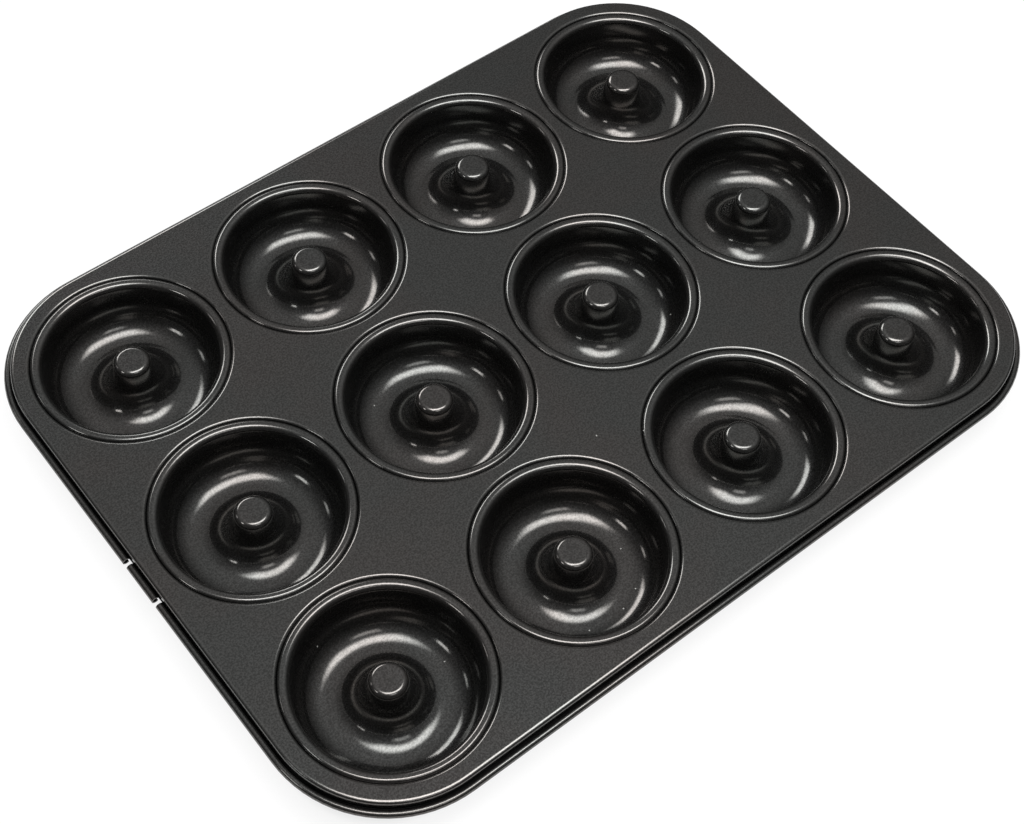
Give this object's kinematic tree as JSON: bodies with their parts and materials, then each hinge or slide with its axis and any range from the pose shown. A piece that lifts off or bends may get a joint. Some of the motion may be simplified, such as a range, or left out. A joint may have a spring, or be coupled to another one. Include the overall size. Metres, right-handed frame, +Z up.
{
  "type": "doughnut pan",
  "caption": "Shallow baking pan pressed from sheet steel, with a grid of ring-shaped cups around centre posts and a rolled rim.",
  "frame": {"origin": "under the middle of the pan, at the level of the flat rings it stands on", "axes": "+Z up, +X along the long side of the pan, the two notches in the rim at the -X side"},
  "size_m": [0.3504, 0.2664, 0.0225],
  "materials": {
    "coated_steel": "dark grey non-stick coating with a fine grain and a satin gloss"
  },
  "bodies": {
    "root": {"pan": "coated_steel"}
  },
  "joints": []
}
